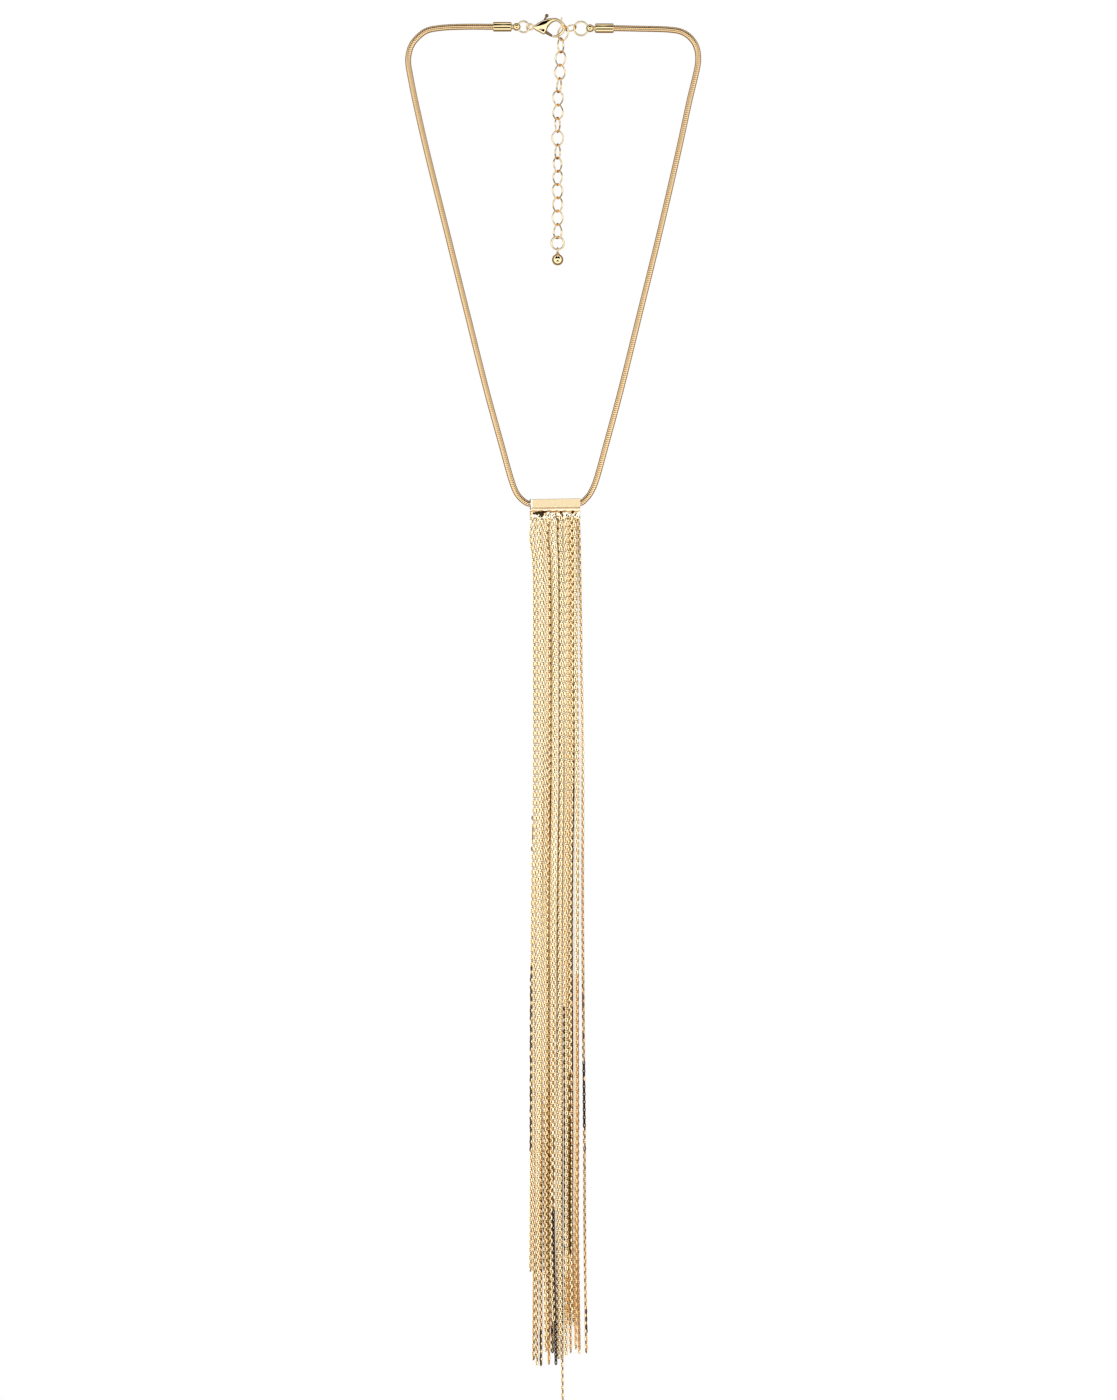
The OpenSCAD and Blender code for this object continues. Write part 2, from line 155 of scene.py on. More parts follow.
table_mirrored = (0.34, 0.25, 0.16, 1)
gap_shadow_tan = (0.62, 0.44, 0.24, 1)
gap_shadow_brown = (0.17, 0.1, 0.04, 1)
gap_reach = 4 * mm
gap_deep = (0.03, 0.17)
gap_shallow = (0.2, 0.43)
table_half_width = 4
table_drop = 0.02 * mm
table_white = bpy.data.materials.new("table_white")
table_white.use_nodes = True
tree = table_white.node_tree
tree.nodes.clear()
openness = add_node(tree, "ShaderNodeAmbientOcclusion", {"Distance": gap_reach}, samples=8).outputs["AO"]
# Painted shadow: brown where the table is most enclosed, tan where less, white in the open
gap = blend(tree, ease(tree, openness, *gap_deep), gap_shadow_brown, gap_shadow_tan)
seen_colour = blend(tree, ease(tree, openness, *gap_shallow), gap, (1, 1, 1, 1))
glow = add_node(tree, "ShaderNodeEmission", {"Color": seen_colour})
matt = add_node(tree, "ShaderNodeBsdfDiffuse", {"Color": table_mirrored})
seen = add_node(tree, "ShaderNodeLightPath").outputs["Is Camera Ray"]
either = add_node(tree, "ShaderNodeMixShader", {0: seen, 1: matt.outputs[0], 2: glow.outputs[0]})
add_node(tree, "ShaderNodeOutputMaterial", {"Surface": either.outputs[0]})
table_shape = bmesh.new()
bmesh.ops.create_grid(table_shape, x_segments=1, y_segments=1, size=table_half_width,
                      matrix=Matrix.Translation((0, 0, -table_drop)))
table_mesh = bpy.data.meshes.new("table")
table_shape.to_mesh(table_mesh)
table_mesh.materials.append(table_white)
table = bpy.data.objects.new("table", table_mesh)
scene.collection.objects.link(table)


# Slider bar
# A folded brass bar with a satin gold face and a plate below it for the fringe. It is
# pressed shut round the snake chain, which runs through it.
amber = (0.8, 0.46, 0.13, 1)
# The near black of painted shade and painted dark reflections
shade_black = (0.03, 0.016, 0.007, 1)
patch_warmth = 0.12
patch_edges = (0.4, 0.7)
grain_edges = (0.3, 0.7)
grains_per_patch = 6.0
# Values of the painted shade between which the plating turns amber, black and dull
amber_shades = (0.0, 0.45)
black_shades = (0.35, 1.0)
dull_shades = (0.6, 1.0)


def make_plating():
    """The gold plating of every piece: its colour, how metallic it is, a haze of fine
    scratches and a height.

    The plating is a little warmer in patches. A piece's shade attribute takes it from pale
    over amber to a near black that isn't metallic: painted shade in grooves, holes and joints, and painted
    dark reflections.
    """
    group = bpy.data.node_groups.new("plating", "ShaderNodeTree")
    group.interface.new_socket("Pale", in_out="INPUT", socket_type="NodeSocketColor")
    group.interface.new_socket("Patch Scale", in_out="INPUT", socket_type="NodeSocketFloat")
    group.interface.new_socket("Color", in_out="OUTPUT", socket_type="NodeSocketColor")
    group.interface.new_socket("Metal", in_out="OUTPUT", socket_type="NodeSocketFloat")
    group.interface.new_socket("Haze", in_out="OUTPUT", socket_type="NodeSocketFloat")
    group.interface.new_socket("Height", in_out="OUTPUT", socket_type="NodeSocketFloat")
    entry = add_node(group, "NodeGroupInput").outputs
    place = add_node(group, "ShaderNodeTexCoord").outputs["Object"]
    patches = add_node(group, "ShaderNodeTexNoise", {"Vector": place, "Scale": entry["Patch Scale"],
                                                     "Detail": 3.0}).outputs["Fac"]
    grain_scale = compute(group, "MULTIPLY", entry["Patch Scale"], grains_per_patch)
    grain = add_node(group, "ShaderNodeTexNoise", {"Vector": place, "Scale": grain_scale,
                                                   "Detail": 4.0}).outputs["Fac"]
    shade = add_node(group, "ShaderNodeAttribute", attribute_name="shade").outputs["Fac"]
    warmth = compute(group, "MULTIPLY_ADD", ease(group, patches, *patch_edges), patch_warmth,
                     ease(group, shade, *amber_shades))
    warm = blend(group, warmth, entry["Pale"], amber)
    add_node(group, "NodeGroupOutput", {
             "Color": blend(group, ease(group, shade, *black_shades), warm, shade_black),
             "Metal": ease(group, shade, *dull_shades, 1.0, 0.0),
             "Haze": ease(group, grain, *grain_edges), "Height": grain})
    return group


plating = make_plating()
edge_tint = (0.9, 0.72, 0.45, 1)
# Specular level of the non-metallic near black that the painted shade makes
black_sheen = 0.22
dent_depth = 0.03 * mm


def gold(name, pale, roughness, haze, dents, patch_scale=400.0):
    """Gold plated brass. Haze is what the fine scratches add to its roughness."""
    material = bpy.data.materials.new(name)
    material.use_nodes = True
    tree = material.node_tree
    shader = tree.nodes["Principled BSDF"]
    shader.inputs["Specular Tint"].default_value = edge_tint
    shader.inputs["Specular IOR Level"].default_value = black_sheen
    # Its colour carries the painted shade of the shade attribute, and its haze and height the fine scratches
    wear_and_shade = add_node(tree, "ShaderNodeGroup", node_tree=plating)
    wear_and_shade.inputs["Pale"].default_value = (*pale, 1)
    wear_and_shade.inputs["Patch Scale"].default_value = patch_scale
    tree.links.new(wear_and_shade.outputs["Color"], shader.inputs["Base Color"])
    roughness = compute(tree, "MULTIPLY_ADD", wear_and_shade.outputs["Haze"], haze, roughness)
    tree.links.new(roughness, shader.inputs["Roughness"])
    bump = add_node(tree, "ShaderNodeBump", {"Height": wear_and_shade.outputs["Height"], "Strength": dents,
                                             "Distance": dent_depth})
    tree.links.new(bump.outputs["Normal"], shader.inputs["Normal"])
    tree.links.new(wear_and_shade.outputs["Metal"], shader.inputs["Metallic"])
    return material


def dress(name, material):
    """Gives a node of the solid model its metal."""
    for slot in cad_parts[name].material_slots:
        slot.material = material


# Edges on the bar, each with its blur: a painted highlight strip and a painted shadow where
# the chain goes in, at the left end, and painted shade along the fold above the plate.
highlight_strip_edge = (-7.95 * mm, -8.05 * mm)
entry_shadow_edge = (-8.45 * mm, -8.52 * mm)
fold_edge = (-1.5 * mm, -1.6 * mm)
plate_edge = (-1.66 * mm, -1.74 * mm)
highlight_strip_colour = (1.0, 0.97, 0.9, 1)
entry_shadow_colour = (0.06, 0.03, 0.01, 1)
fold_shade_colour = (0.42, 0.23, 0.07, 1)
fold_shade_strength = 0.8
plate_colour = (0.95, 0.8, 0.6, 1)
blot_scale = 700.0
blot_edges = (0.42, 0.5)
satin_gold = gold("satin_gold", (0.69, 0.575, 0.38), roughness=0.3, haze=0.12, dents=0.15, patch_scale=900.0)
tree = satin_gold.node_tree
spot = add_node(tree, "ShaderNodeTexCoord").outputs["Object"]
place = add_node(tree, "ShaderNodeSeparateXYZ", {0: spot}).outputs
blots = add_node(tree, "ShaderNodeTexNoise", {"Vector": spot, "Scale": blot_scale}).outputs["Fac"]
# Painted highlight strip, painted shadow where the chain goes in (broken by blots), and painted shade along
# the fold
highlight_strip = ease(tree, place["X"], *highlight_strip_edge)
entry_shadow = compute(tree, "MULTIPLY", ease(tree, place["X"], *entry_shadow_edge), ease(tree, blots, *blot_edges))
plate = ease(tree, place["Y"], *plate_edge)
fold_shade = compute(tree, "MULTIPLY", ease(tree, place["Y"], *fold_edge),
               compute(tree, "SUBTRACT", fold_shade_strength, plate))
shader = tree.nodes["Principled BSDF"]
metal = shader.inputs["Base Color"].links[0].from_socket
for mask, colour in ((highlight_strip, highlight_strip_colour), (fold_shade, fold_shade_colour), (plate, plate_colour), (entry_shadow, entry_shadow_colour)):
    metal = blend(tree, mask, metal, colour)
tree.links.new(metal, shader.inputs["Base Color"])
dress("slider_bar", satin_gold)


sharp_angle = radians(50)


def make_piece(name, shape, material, stands_for, body="necklace"):
    """Makes a piece of a finished bmesh in millimetres; it stands for a node of the solid model."""
    bmesh.ops.transform(shape, matrix=Matrix.Scale(mm, 4), verts=shape.verts)
    mesh = bpy.data.meshes.new(name)
    shape.to_mesh(mesh)
    shape.free()
    mesh.materials.append(material)
    mesh.shade_smooth()
    mesh.set_sharp_from_angle(angle=sharp_angle)
    piece = bpy.data.objects.new(name, mesh)
    scene.collection.objects.link(piece)
    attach(piece, body)
    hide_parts(stands_for)


# Solder
# Bright soft solder that ran unevenly over the bar's plate and the tops of the strands.
# It is lumpy and polished, with shallow hollows that carry a painted dark reflection.
bed_half_width = 8.8
bed_top = -2.45
bed_bottom = -5.6
bed_low = 0.6
bed_lift = 1.0
bed_base = 0.05
bed_least = 0.45
side_slope = 9
rim_slope = 2.2
hollow_sink = 0.2
hollow_size = 1.15
hollow_slope = 6
# Columns: place across, place along, half width, half height, slant, depth of the painted dark reflection
hollows_and_reflections = ((-5.7, -3.3, 2.0, 0.55, 0.08, 1.0), (-3.9, -2.95, 1.2, 0.5, 0.3, 1.0),
                  (-4.7, -3.8, 0.75, 0.85, 0.1, 1.0), (-3.2, -3.9, 0.25, 0.6, -0.8, 0.7),
                  (2.0, -3.0, 0.4, 0.7, -0.5, 1.0), (2.5, -4.2, 0.35, 0.75, -0.3, 0.9),
                  (6.2, -3.1, 0.5, 0.5, 0.3, 1.0), (7.3, -3.4, 0.3, 0.35, 0.0, 0.7),
                  (0.3, -4.2, 0.25, 1.4, -0.05, 0.6), (-8.5, -3.2, 0.25, 1.2, 0.0, 0.5))


def solder_lumps(x, y):
    """Height of the lumps: a few sines, mixed across and along."""
    lumps = 0.5 + 0.16 * sin(1.9 * x + 2 * sin(1.3 * y)) + 0.1 * sin(3.7 * x + 1.1) * cos(2.9 * y + x)
    return lumps + 0.05 * sin(6.1 * x - 3.3 * y)


def hollow_reflection_depth(x, y):
    """How deep a place lies in the hollows, which have ragged rims and a painted dark reflection; 0 outside
    them.
    """
    depth = 0
    for across_at, along_at, half_w, half_h, slant, shade in hollows_and_reflections:
        a = (x - across_at) / half_w
        b = (y - along_at - slant * (x - across_at)) / half_h
        ragged = hypot(a, b) + 0.14 * sin(5.5 * x + 3 * y) + 0.1 * sin(9 * x - 7 * y)
        depth = max(depth, shade * min(1, max(0, (hollow_size - ragged) * hollow_slope)))
    return depth


solder = bmesh.new()
bmesh.ops.create_grid(solder, x_segments=150, y_segments=34, size=1)
reflection_shade = solder.verts.layers.float.new("shade")
solder_faces = solder.faces[:]
for vertex in solder.verts:
    u, v = vertex.co.x, vertex.co.y
    x = u * bed_half_width
    y = (bed_top + bed_bottom) / 2 + v * (bed_top - bed_bottom) / 2
    depth = hollow_reflection_depth(x, y)
    rise = min(1, side_slope * (1 - abs(u)), rim_slope * (1 - abs(v))) ** 0.5
    lift = bed_lift * (bed_least + solder_lumps(x, y) - hollow_sink * depth)
    wavy_rim = 0.1 * sin(2.3 * x) * abs(v) ** 3
    vertex.co = (x, y + wavy_rim, bed_low + rise * lift)
    # Painted dark reflection in the hollows
    vertex[reflection_shade] = depth
for element in bmesh.ops.extrude_face_region(solder, geom=solder_faces)["geom"]:
    if isinstance(element, bmesh.types.BMVert):
        element.co.z = bed_low - bed_base
bmesh.ops.recalc_face_normals(solder, faces=solder.faces)
solder_gold = gold("solder_gold", (0.95, 0.88, 0.74), roughness=0.08, haze=0.06, dents=0.1)
make_piece("solder_bed", solder, solder_gold, "fringe")


# Fringe
# Twenty-two fine cable chains hang side by side from the solder, fifteen on the table
# and seven on top of them. Every second oval link is turned a quarter.
def wire_loop(outer, wire, turns, sides, stretch=0.0, egg=0.0, point=0.0, flat=0.0):
    """A loop of wire lying flat, stretched along Y, egg shaped and pointed at its ends.

    The wire is round, or more or less hammered flat.
    """
    loop = bmesh.new()
    middle = (outer - wire) / 2
    upright = Matrix.Rotation(pi / 2, 4, "X") @ Matrix.Rotation(pi / sides, 4, "Z")
    bmesh.ops.create_circle(loop, segments=sides, radius=wire / 2,
                            matrix=Matrix.Translation((middle, 0, 0)) @ upright)
    for vertex in loop.verts:
        vertex.co.x += flat * (vertex.co.x - middle) * (abs(vertex.co.z) > wire / 4)
        vertex.co.z *= 1 - flat / 2
    bmesh.ops.spin(loop, geom=loop.verts[:] + loop.edges[:], cent=(0, 0, 0), axis=(0, 0, 1),
                   angle=2 * pi, steps=turns, use_merge=True)
    for vertex in loop.verts:
        way = vertex.co.y / hypot(vertex.co.x, vertex.co.y)
        vertex.co.x *= (1 + egg * way) * (1 - point * way * way)
        vertex.co.y += way * stretch / 2
    bmesh.ops.recalc_face_normals(loop, faces=loop.faces)
    return loop


def smooth_route(points, pitch, steps=40):
    """Places every pitch along the smooth curve through the points, and the headings there.

    The curve is measured in steps between each two points.
    """
    points = np.array(points, float)
    last = len(points) - 1
    dense = []
    for i in range(last):
        a, b = points[i], points[i + 1]
        reach = np.linalg.norm(b - a)
        turns = [points[min(k + 1, last)] - points[max(k - 1, 0)] for k in (i, i + 1)]
        start, end = [reach * turn / np.linalg.norm(turn) for turn in turns]
        for t in np.linspace(0, 1, steps, endpoint=False):
            dense.append((2 * t**3 - 3 * t**2 + 1) * a + (t**3 - 2 * t**2 + t) * start
                         + (3 * t**2 - 2 * t**3) * b + (t**3 - t**2) * end)
    dense = np.array(dense + [points[-1]])
    run = np.concatenate([[0], np.cumsum(np.linalg.norm(np.diff(dense, axis=0), axis=1))])
    marks = np.linspace(0, run[-1], round(run[-1] / pitch) + 1)
    places = np.stack([np.interp(marks, run, dense[:, k]) for k in range(3)], axis=1)
    headings = np.gradient(places, axis=0)
    return places, headings / np.linalg.norm(headings, axis=1)[:, None]


def lying(place, heading, roll):
    """The pose of a piece that lies at a place, its own Y along the heading, rolled about it."""
    forward = Vector(heading).normalized()
    side = forward.cross(Vector((0, 0, 1))).normalized()
    turn = Matrix((side, forward, side.cross(forward))).transposed().to_4x4()
    return Matrix.Translation(Vector(place)) @ turn @ Matrix.Rotation(roll, 4, "Y")


cable_width = 1.3
cable_length = 2.27
cable_wire = 0.46
cable_flat = 0.28
cable_pitch = 1.35
pitch_spread = 0.006
roll_sway = 8
sway_per_link = 0.06
# Painted shade of a link's top, flank and hole, at the bar and at the tips: darkest in the hole, and growing
# towards the tips
top_shade = (0.02, 0.08)
flank_shade = (0.0, 0.12)
hole_shade = (0.5, 0.9)
strand_shade = 0.12
flank_depth = 0.6
hole_depth = 0.9
lower_z = 0.65
upper_z = 1.75
solder_z = 1.15
# Columns: place along, first strand's place across, distance between strands
fringe_rows = ((-4.9, -8, 1.16), (-12, -8.7, 1.23), (-20, -7.7, 1.16), (-51, -7.4, 1.14),
               (-97, -7.5, 1.15), (-139, -8.1, 1.155), (-184, -8.4, 1.165), (-223, -8.5, 1.165),
               (-254, -8.7, 1.165))
drift_rows = (12, 51, 139, 254)
upper_roll_end = 150
tip_roll_start = 240
fringe_reach = 300
golden_step = 0.618
golden_angle = 2.4
# Columns: place in the row, layer, drift at the last three rows, tip across, tip along,
# roll of the links in the upper half and at the tip in degrees
strands = (
    (0, 0, 0, 0, 0.1, -8.7, -268, 20, 35), (1, 0, 0, 0, 0.1, -7.6, -299, 8, 30),
    (2, 0, 0, 0, 0.1, -6.4, -301, 12, 25), (3, 0, 0, 0, 0.2, -4.9, -301, 5, 30),
    (4, 0, 0, 0, 0.3, -3.3, -296, 0, 25), (5, 0, 0, 0, 0.3, -2.2, -300.5, 38, 35),
    (6, 0, 0, 0, 0.1, -0.9, -296.5, 10, 35), (7, 0.9, 0, 0, 0, 0.3, -300.5, 3, 42),
    (8, 0, 0, 0, 0.2, 1.2, -298.5, 40, 10), (9, 0, 0, 0, 0.4, 2.6, -315, 15, 35),
    (10, 0, 0, 0, 0.6, 3.8, -297.5, 5, 25), (11, 0, 0, 0, 0.6, 5.4, -296.5, 12, 35),
    (12, 0, 0, 0, 0.6, 6.6, -287, 38, 30), (13, 0, 0, 0.9, 1.4, 8.5, -297, 18, 30),
    (14, 0, 0.6, 1.6, 2.8, 11, -296.5, 30, 45), (2.5, 1, 0, 0, 0.1, -5.6, -269, 4, 15),
    (4.5, 1, 0, 0, 0.2, -2.7, -292, 38, 35), (6.4, 1, 0, 0, -0.2, -0.5, -285, 2, 35),
    (8.5, 1, 0, 0, 0.5, 1.9, -290, 0, 5), (10.5, 1, 0, 0, 0.4, 4.3, -286.5, 8, 30),
    (11.6, 1, 0, 0, 0.6, 5.7, -282, 36, 30), (12.7, 1, 0, 1, 1.2, 7.2, -295, 12, 35))
# Runs of painted dark reflection and amber shade on the strands. Columns: strand, start and end along, side
# that is dark (0 is both), depth, share of the links
reflection_run_overlap = 0.1
dark_reflection_runs = ((0, -105, -122, -1, 0.8, 0.3), (0, -162, -227, -1, 1.0, 0.75), (10, -176, -250, 0, 1.0, 1.0),
           (10, -250, -263, 0, 1.0, 0.5), (12, -98, -150, 0, 0.9, 0.6), (12, -150, -200, 0, 1.0, 0.85),
           (20, -200, -218, -1, 0.9, 0.65), (20, -218, -263, -1, 1.0, 1.0), (6, -205, -240, 0, 0.5, 1.0),
           (6, -286, -297, 0, 1.0, 0.3), (7, -222, -248, -1, 0.8, 0.5), (7, -248, -301, 0, 1.0, 1.0),
           (13, -165, -297, 0, 0.3, 1.0), (21, -165, -295, 0, 0.28, 1.0), (14, -165, -195, -1, 0.9, 0.3),
           (14, -195, -219, 0, 1.0, 0.95), (14, -219, -236, 1, 1.0, 0.35), (14, -282, -291, 1, 1.0, 0.6),
           (3, -289, -302, -1, 1.0, 0.8), (5, -281, -301, 0, 0.34, 1.0), (5, -100, -118, 1, 0.6, 1.0),
           (19, -180, -268, 0, 0.16, 1.0), (19, -268, -284, 0, 0.5, 0.5))


def strand_route(strand):
    """The points that one strand's middle follows, from the solder to its tip."""
    column, layer, *drifts, tip_across, tip_along, _, _ = strand
    z = lower_z + layer * (upper_z - lower_z)
    route = []
    for i, (along_at, first, step) in enumerate(fringe_rows):
        drift = np.interp(-along_at, drift_rows, (0, *drifts))
        route.append((first + column * step + drift, along_at, max(z, solder_z) if i == 0 else z))
    route.append((tip_across, tip_along, z))
    return route


def cable_link():
    """One oval link. Its shade says which vertices are on the flank (1) and in the hole (2)."""
    straight = cable_length - cable_width
    link = wire_loop(cable_width, cable_wire, turns=10, sides=6, stretch=straight, flat=cable_flat)
    shade = link.verts.layers.float.new("shade")
    for vertex in link.verts:
        past_straight = max(0, abs(vertex.co.y) - straight / 2)
        depth = (cable_width / 2 - hypot(vertex.co.x, past_straight)) / cable_wire
        vertex[shade] = 2 if depth > hole_depth else 1 if depth > flank_depth else 0
    return link


def groove_shades(number, place):
    """Painted shades of a link's top, flank and hole, darker towards the tips. Some strands are darker than
    others.
    """
    low = max(0, -place[1] / fringe_reach) ** 2
    top, flank, hole = [start + (end - start) * low for start, end in (top_shade, flank_shade, hole_shade)]
    return (top + strand_shade * max(0, sin(number * golden_angle)) ** 2, flank, hole)


fringe_gold = gold("fringe_gold", (1.0, 0.945, 0.73), roughness=0.12, haze=0.08, dents=0.1)
for number, strand in enumerate(strands):
    route = strand_route(strand)
    first_place = route[0][1] - cable_pitch * (golden_step * number % 1)
    route[0] = (route[0][0], first_place, route[0][2])
    pitch = cable_pitch * (1 + pitch_spread * sin(number * golden_angle))
    places, headings = smooth_route(route, pitch)
    rolls = np.interp(-places[:, 1], (upper_roll_end, tip_roll_start), strand[-2:])
    rolls += roll_sway * np.sin(np.arange(len(places)) * sway_per_link + number)
    chain = cable_link()
    shade = chain.verts.layers.float["shade"]
    first_link = chain.verts[:]
    pattern = first_link + chain.edges[:] + chain.faces[:]
    for i, (place, heading) in enumerate(zip(places, headings)):
        pose = lying(place, heading, radians(rolls[i] + 90 * ((i + number) % 2)))
        shades = groove_shades(number, place)
        runs = [(side, depth) for which, start, end, side, depth, share in dark_reflection_runs
                if which == number and end < place[1] < start and golden_step * i % 1 < share]
        for element in bmesh.ops.duplicate(chain, geom=pattern)["geom"]:
            if isinstance(element, bmesh.types.BMVert):
                element.co = pose @ element.co
                # Painted shade of the link's top, flank and hole
                element[shade] = max(shades[0], shades[round(element[shade])])
                # Painted dark reflection and shade on the dark side of a run's links
                for side, depth in runs:
                    if side == 0 or side * (element.co.x - place[0]) > -reflection_run_overlap:
                        element[shade] = depth
    bmesh.ops.delete(chain, geom=first_link, context="VERTS")
    make_piece(f"fringe_strand_{number + 1:02d}", chain, fringe_gold, "fringe")


# Snake chain
# Two lengths of round snake chain, 2.1 mm thick brass. Small wavy plates hook into each
# other, so the chain is a tube of fine ribs. It runs from each cap into the bar.
def draw_out(sides, rings, shades=None):
    """A closed skin drawn out of a circle, ring by ring. Each ring gives a place for an angle."""
    skin = bmesh.new()
    turn = skin.verts.layers.float.new("turn")
    shade = skin.verts.layers.float.new("shade")
    edge_verts = bmesh.ops.create_circle(skin, segments=sides, radius=1)["verts"]
    edges = skin.edges[:]
    for vertex in edge_verts:
        vertex[turn] = atan2(vertex.co.y, vertex.co.x)
    for i, ring in enumerate(rings):
        if i > 0:
            grown = bmesh.ops.extrude_edge_only(skin, edges=edges)["geom"]
            edge_verts = [part for part in grown if isinstance(part, bmesh.types.BMVert)]
            edges = [part for part in grown if isinstance(part, bmesh.types.BMEdge) and part.is_boundary]
        for vertex in edge_verts:
            vertex.co = ring(vertex[turn])
            vertex[shade] = shades[i] if shades else 0
    bmesh.ops.holes_fill(skin, edges=skin.edges[:], sides=0)
    bmesh.ops.recalc_face_normals(skin, faces=skin.faces)
    return skin


chain_radius = 1.05
rib_pitch = 0.7
plate_wave = 0.13
plate_waves = 4
chain_sides = 18
# A rib's outline. Columns: part of the pitch, part of the radius, depth of painted shade, darkest in the
# groove
rib_outline = ((0.0, 0.93, 0.9), (0.25, 0.99, 0.12), (0.5, 1.0, 0.0), (0.75, 0.99, 0.12))
cap_z = 1.66
chain_z = 1.06
bar_hole_z = 1.45
chain_left_route = (
    (-17, 166.8, cap_z), (-22, 166.8, cap_z), (-29, 166.9, 1.3), (-36, 166.8, chain_z),
    (-41, 166.4, chain_z), (-45, 165.5, chain_z), (-48, 163.3, chain_z),
    (-50.2, 160.5, chain_z), (-51.3, 157, chain_z), (-51.4, 154, chain_z),
    (-50.9, 150.8, chain_z), (-49, 141.2, chain_z), (-45, 123.7, chain_z),
    (-38, 95.6, chain_z), (-31, 67.5, chain_z), (-24, 39.6, chain_z),
    (-18.5, 19.6, chain_z), (-15.3, 8.2, 1.1), (-13.5, 3.7, 1.2), (-11.3, 1.1, 1.35),
    (-9, -0.1, bar_hole_z), (-0.1, 0, bar_hole_z))
chain_right_route = (
    (16, 166.3, cap_z), (21, 166.3, cap_z), (29, 166.2, 1.3), (36, 166.1, chain_z),
    (40, 165.9, chain_z), (43.8, 165.3, chain_z), (46.6, 163.8, chain_z),
    (48.8, 161.3, chain_z), (49.9, 158.3, chain_z), (50.1, 155, chain_z),
    (49.6, 151.7, chain_z), (47.1, 141.2, chain_z), (43.3, 123.7, chain_z),
    (36.8, 95.6, chain_z), (29.9, 67.5, chain_z), (23, 39.6, chain_z),
    (17.7, 20, chain_z), (14.4, 8.2, 1.1), (12.5, 3.8, 1.2), (10.8, 1.6, 1.35),
    (9, 0.2, bar_hole_z), (0.1, 0, bar_hole_z))


def rib_ring(place, heading, radius, wave):
    """One ring of a wavy rib, as a place for an angle."""
    pose = lying(place, heading, 0)
    return lambda angle: pose @ Vector((radius * cos(angle), wave * cos(plate_waves * angle),
                                        radius * sin(angle)))


chain_gold = gold("chain_gold", (0.67, 0.555, 0.4), roughness=0.1, haze=0.08, dents=0.08)
for name, route in (("left", chain_left_route), ("right", chain_right_route)):
    places, headings = smooth_route(route, rib_pitch)
    ribs = np.arange(len(places))
    rings, shades = [], []
    for rib in ribs[:-1]:
        for part, size, depth in rib_outline:
            at = [np.interp(rib + part, ribs, places[:, k]) for k in range(3)]
            heading = [np.interp(rib + part, ribs, headings[:, k]) for k in range(3)]
            wave = plate_wave if 0 < rib < len(ribs) - 2 else 0
            rings.append(rib_ring(at, heading, chain_radius * size, wave))
            shades.append(depth)
    chain = draw_out(chain_sides, rings, shades)
    make_piece(f"snake_ribs_{name}", chain, chain_gold, f"snake_chain_{name}")


# End caps
# Brass tubes crimped on the chain's ends, each turned with a neck and a small ball that
# is drilled across for its jump ring. Polished.
weld_reach = 0.002


def turned(outline, steps=40):
    """Turns an outline of (along X, radius) points about the X axis."""
    lathe = bmesh.new()
    line = [lathe.verts.new((along_at, radius, 0)) for along_at, radius in outline]
    edges = [lathe.edges.new(pair) for pair in zip(line, line[1:])]
    bmesh.ops.spin(lathe, geom=line + edges, cent=(0, 0, 0), axis=(1, 0, 0), angle=2 * pi, steps=steps,
                   use_merge=True)
    bmesh.ops.remove_doubles(lathe, verts=lathe.verts, dist=weld_reach)
    bmesh.ops.recalc_face_normals(lathe, faces=lathe.faces)
    return lathe


def arc(middle, radius, start, end, parts):
    """Points of an arc in an outline, its angles in degrees from the X axis."""
    return [(middle[0] + radius * cos(radians(start + (end - start) * i / parts)),
             middle[1] + radius * sin(radians(start + (end - start) * i / parts))) for i in range(parts + 1)]


def joined(*shapes):
    """Puts several bmeshes in the first one."""
    for shape in shapes[1:]:
        mesh = bpy.data.meshes.new("part")
        shape.to_mesh(mesh)
        shapes[0].from_mesh(mesh)
        bpy.data.meshes.remove(mesh)
        shape.free()
    return shapes[0]


def carved(shape, *cutters):
    """Cuts other bmeshes out of one."""
    blanks = []
    for part in (shape, *cutters):
        mesh = bpy.data.meshes.new("blank")
        part.to_mesh(mesh)
        blank = bpy.data.objects.new("blank", mesh)
        scene.collection.objects.link(blank)
        blanks.append(blank)
        if part is not shape:
            part.free()
            cut = blanks[0].modifiers.new("cut", "BOOLEAN")
            cut.object = blank
            cut.solver = "EXACT"
    mesh = bpy.data.meshes.new_from_object(blanks[0].evaluated_get(bpy.context.evaluated_depsgraph_get()))
    shape.clear()
    shape.from_mesh(mesh)
    for blank in blanks:
        bpy.data.objects.remove(blank)
    bmesh.ops.remove_doubles(shape, verts=shape.verts, dist=weld_reach)
    return shape


def leaned(shape, place, lean):
    """Rolls, pitches and turns a bmesh by the degrees in lean, then puts it at its place."""
    pitch, roll, turn = (radians(angle) for angle in lean)
    spin = Matrix.Rotation(turn, 4, "Z") @ Matrix.Rotation(pitch, 4, "X") @ Matrix.Rotation(roll, 4, "Y")
    bmesh.ops.transform(shape, matrix=Matrix.Translation(place) @ spin, verts=shape.verts)
    return shape


cap_radius = 1.65
cap_length = 6.4
cap_bore = 1.15
ball_radius = 1.35
ball_reach = 1.8
neck_radius = 0.75
bore_depth = 5.4
bore_easing = 0.1
mouth_easing = 0.2
shoulder_easing = 0.35
neck_easing = 0.3
drill_room = 0.09
ring_wire = 0.6
